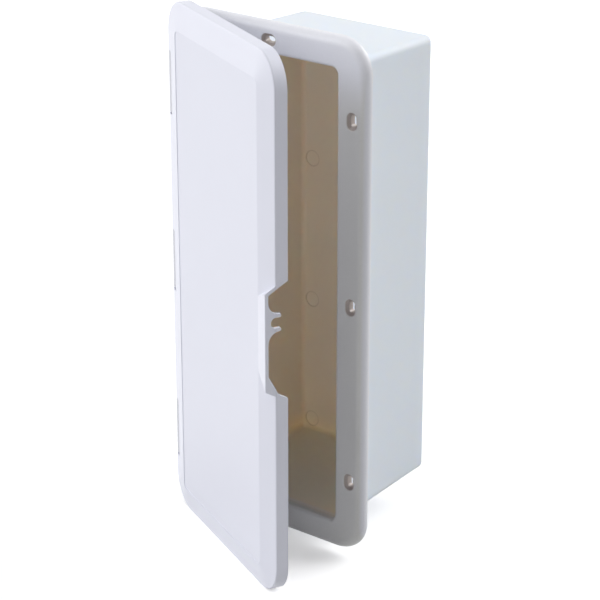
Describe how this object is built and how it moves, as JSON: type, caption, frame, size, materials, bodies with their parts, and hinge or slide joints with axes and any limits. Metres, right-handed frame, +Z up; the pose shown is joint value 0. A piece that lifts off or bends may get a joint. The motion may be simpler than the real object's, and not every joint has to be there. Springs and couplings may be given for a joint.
{
  "type": "recessed storage box",
  "caption": "White moulded storage box let into a wall or bulkhead, with a screwed front frame and a side-hinged bevelled door with a finger notch.",
  "frame": {"origin": "middle of the front frame, on the plane where the frame lies on the wall", "axes": "+X to the right along the frame seen from the front, +Y back into the wall, +Z up"},
  "size_m": [0.1632, 0.1848, 0.367],
  "materials": {
    "tub_plastic": "smooth moulded white, satin gloss",
    "door_plastic": "smooth moulded white, satin gloss",
    "pin_steel": "plain drawn stainless wire"
  },
  "bodies": {
    "box": {"storage_tub": "tub_plastic"},
    "door": {"door": "door_plastic", "hinge_pin_top": "pin_steel", "hinge_pin_middle": "pin_steel", "hinge_pin_bottom": "pin_steel"}
  },
  "joints": [
    {"name": "door_hinge", "type": "hinge", "parent": "box", "child": "door", "pos_m": [-0.08075, -0.0055, 0], "axis": [0, 0, -1], "range_deg": [-26, 124]}
  ]
}
